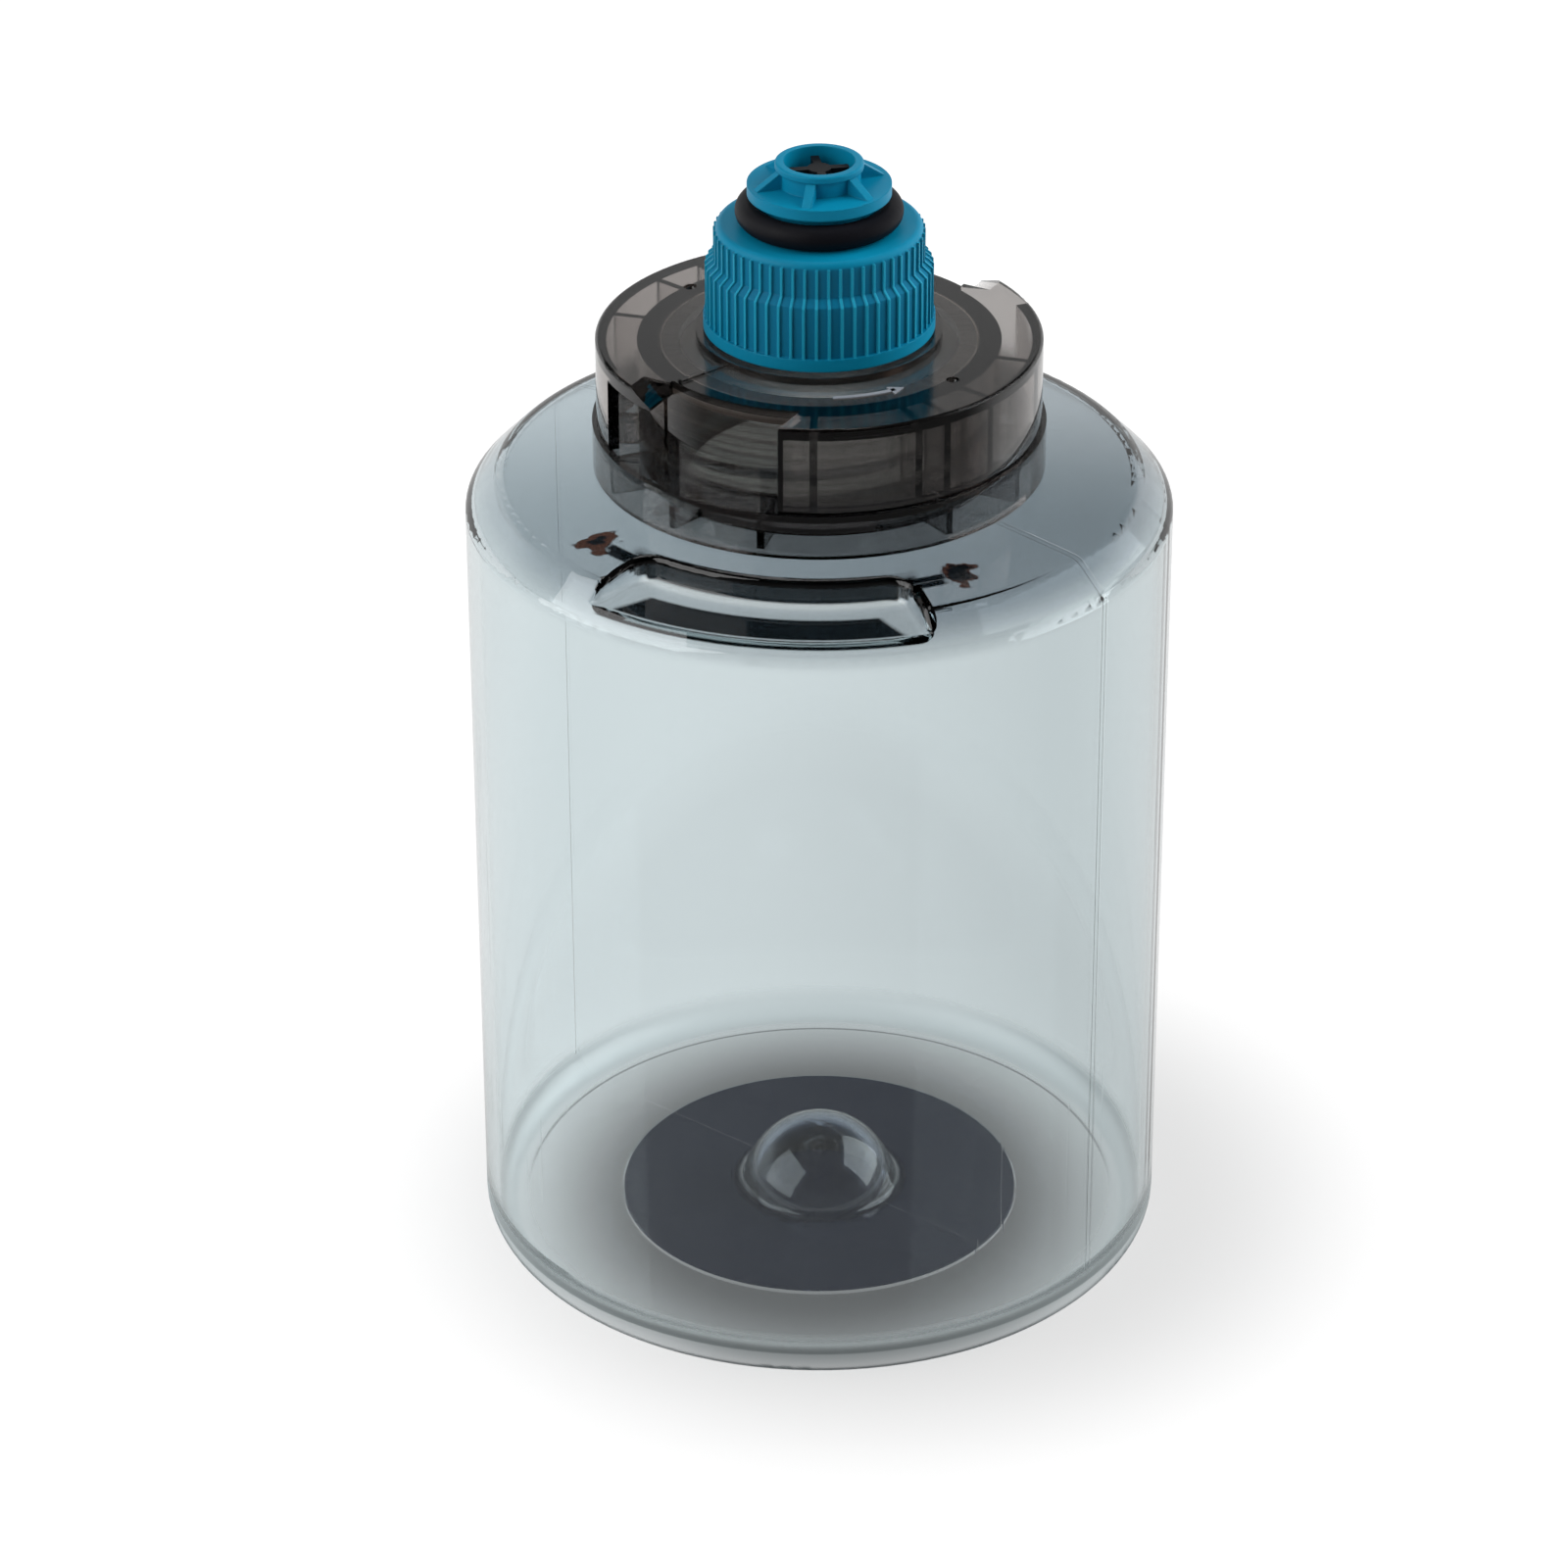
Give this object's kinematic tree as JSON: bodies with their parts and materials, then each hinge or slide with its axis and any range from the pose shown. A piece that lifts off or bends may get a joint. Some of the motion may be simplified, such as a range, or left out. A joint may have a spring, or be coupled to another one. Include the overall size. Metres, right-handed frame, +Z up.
{
  "type": "vacuum clean water tank",
  "caption": "Round smoked clear water tank for a floor washer, with a grey bayonet lock cap and a teal sprung outlet valve cap.",
  "frame": {"origin": "centre of the foot, on the surface the tank stands on", "axes": "+Z up along the axis of the bottle, through the neck and the nozzle; -Y faces the latch notch in the shoulder"},
  "size_m": [0.096, 0.096, 0.1617],
  "materials": {
    "clear_smoke": "gloss clear, light blue grey",
    "base_dark": "satin",
    "cap_smoke": "gloss clear, dark smoke",
    "teal": "satin",
    "black_rubber": "matte",
    "grey_seal": "matte",
    "black_plastic": "satin",
    "white_plastic": "satin",
    "spring_steel": "drawn wire"
  },
  "bodies": {
    "tank": {"tank_shell": "clear_smoke", "base_pad": "base_dark"},
    "cap_seal": {"neck_gasket": "grey_seal"},
    "cap": {"lock_cap": "cap_smoke"},
    "valve_seal": {"spout_gasket": "grey_seal"},
    "valve": {"valve_cap": "teal", "nozzle_oring": "black_rubber", "spring_cage": "white_plastic", "valve_spring": "spring_steel"},
    "poppet": {"valve_poppet": "black_plastic", "poppet_seal": "black_rubber"}
  },
  "joints": [
    {"name": "cap_lift", "type": "slide", "parent": "tank", "child": "cap_seal", "axis": [0, 0, 1], "range_m": [0, 0.03]},
    {"name": "cap_turn", "type": "hinge", "parent": "cap_seal", "child": "cap", "pos_m": [0, 0, 0.1348], "axis": [0, 0, 1], "range_deg": [0, 120]},
    {"name": "valve_lift", "type": "slide", "parent": "cap", "child": "valve_seal", "axis": [0, 0, 1], "range_m": [0, 0.02]},
    {"name": "valve_turn", "type": "hinge", "parent": "valve_seal", "child": "valve", "pos_m": [0, 0, 0.1512], "axis": [0, 0, 1], "range_deg": [0, 540]},
    {"name": "poppet_press", "type": "slide", "parent": "valve", "child": "poppet", "axis": [0, 0, -1], "range_m": [0, 0.0035], "stiffness_N_per_m": 300, "springref_m": -0.004, "deforming": ["valve_spring"]}
  ]
}
